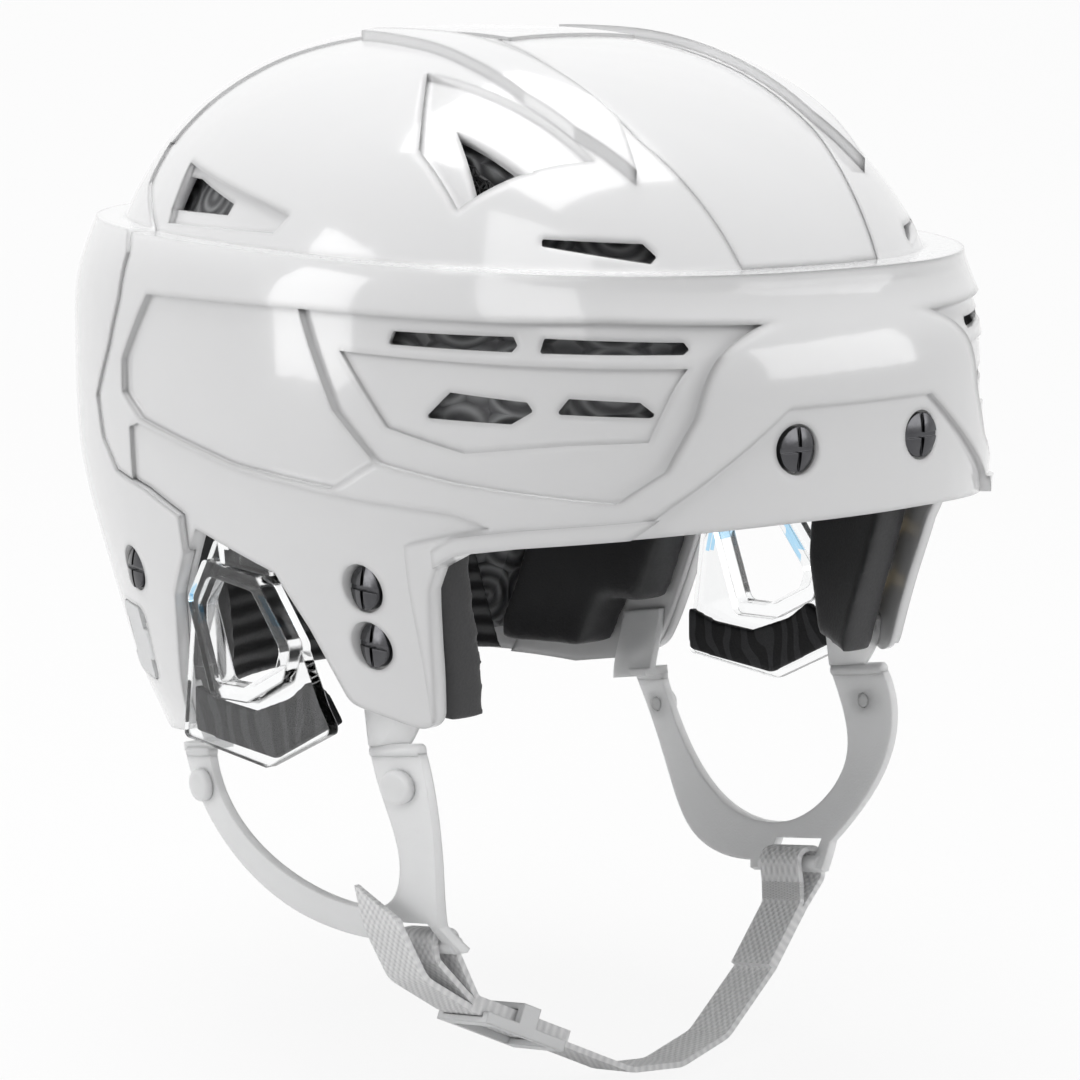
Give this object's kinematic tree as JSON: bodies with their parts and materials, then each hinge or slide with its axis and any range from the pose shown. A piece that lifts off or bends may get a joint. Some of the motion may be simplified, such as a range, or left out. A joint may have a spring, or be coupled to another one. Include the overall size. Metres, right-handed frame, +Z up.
{
  "type": "ice hockey helmet",
  "caption": "Ice hockey helmet with a sliding two part vented shell, foam liner, clear ear guards, forked chin harness and a webbing strap with slider.",
  "frame": {"origin": "centre of the head opening at brim level", "axes": "+Z up through the crown, the helmet faces -Y, +X is the wearer's left"},
  "size_m": [0.2088, 0.2755, 0.287],
  "materials": {
    "shell": "high gloss white",
    "panel": "high gloss white",
    "foam": "matt closed cell foam",
    "lattice": "matt open lattice",
    "pad": "matt covered foam",
    "clear": "clear polished",
    "screw": "dark semi gloss",
    "nut": "plain",
    "tab": "satin",
    "pin": "brushed",
    "clip": "satin",
    "yoke": "translucent satin",
    "snap": "gloss white",
    "webbing": "woven white",
    "slider": "gloss white"
  },
  "bodies": {
    "front": {"front_shell": "shell", "crown_panel": "panel", "front_foam": "foam", "crown_lattice_left": "lattice", "crown_lattice_right": "lattice", "brow_pad": "pad", "crown_pad": "pad", "temple_pad_left": "pad", "temple_pad_right": "pad", "side_pad_left": "pad", "side_pad_right": "pad", "ear_guard_left": "clear", "ear_guard_right": "clear", "ear_pad_left": "pad", "ear_pad_right": "pad", "brow_screws": "screw", "brow_nuts": "nut", "temple_screws": "screw", "temple_nuts": "nut", "front_clip_left": "clip", "front_clip_right": "clip", "rear_clip_left": "clip", "rear_clip_right": "clip"},
    "rear": {"rear_shell": "shell", "rear_foam": "foam", "nape_pad": "pad", "adjust_screws": "screw", "adjust_nuts": "nut", "tab_pins": "pin"},
    "tab_left": {"size_tab_left": "tab"},
    "tab_right": {"size_tab_right": "tab"},
    "yoke_right": {"chin_yoke_right": "yoke", "snap_buttons_right": "snap"},
    "yoke_left": {"chin_yoke_left": "yoke", "snap_buttons_left": "snap"},
    "strap": {"chin_strap": "webbing"},
    "slider": {"strap_slider": "slider"}
  },
  "joints": [
    {"name": "rear_slide", "type": "slide", "parent": "front", "child": "rear", "axis": [0, 0.9962, 0.0872], "range_m": [0, 0.012]},
    {"name": "left_tab_hinge", "type": "hinge", "parent": "rear", "child": "tab_left", "pos_m": [0.09016, 0.06715, -0.03882], "axis": [-0.227, -0.0744, -0.9711], "range_deg": [0, 60]},
    {"name": "right_tab_hinge", "type": "hinge", "parent": "rear", "child": "tab_right", "pos_m": [-0.09016, 0.06715, -0.03882], "axis": [-0.227, 0.0744, 0.9711], "range_deg": [0, 60]},
    {"name": "right_yoke_swing", "type": "hinge", "parent": "front", "child": "yoke_right", "pos_m": [-0.0834, -0.036, -0.0506], "axis": [0, 0.9816, -0.1908], "range_deg": [-8, 8]},
    {"name": "left_yoke_swing", "type": "hinge", "parent": "front", "child": "yoke_left", "pos_m": [0.0834, -0.036, -0.0506], "axis": [0, 0.9816, -0.1908], "range_deg": [-10, 10]},
    {"name": "strap_swing", "type": "hinge", "parent": "yoke_right", "child": "strap", "pos_m": [-0.0665, -0.02765, -0.10723], "axis": [0, 0.9816, -0.1908], "range_deg": [-12, 12]},
    {"name": "slider_slide", "type": "slide", "parent": "strap", "child": "slider", "axis": [0.8904, -0.0868, -0.4467], "range_m": [-0.002, 0.002]}
  ],
  "couplings": [
    {"joint": "left_yoke_swing", "follows": "right_yoke_swing", "ratio": 1},
    {"joint": "strap_swing", "follows": "right_yoke_swing", "ratio": -1.2541}
  ]
}
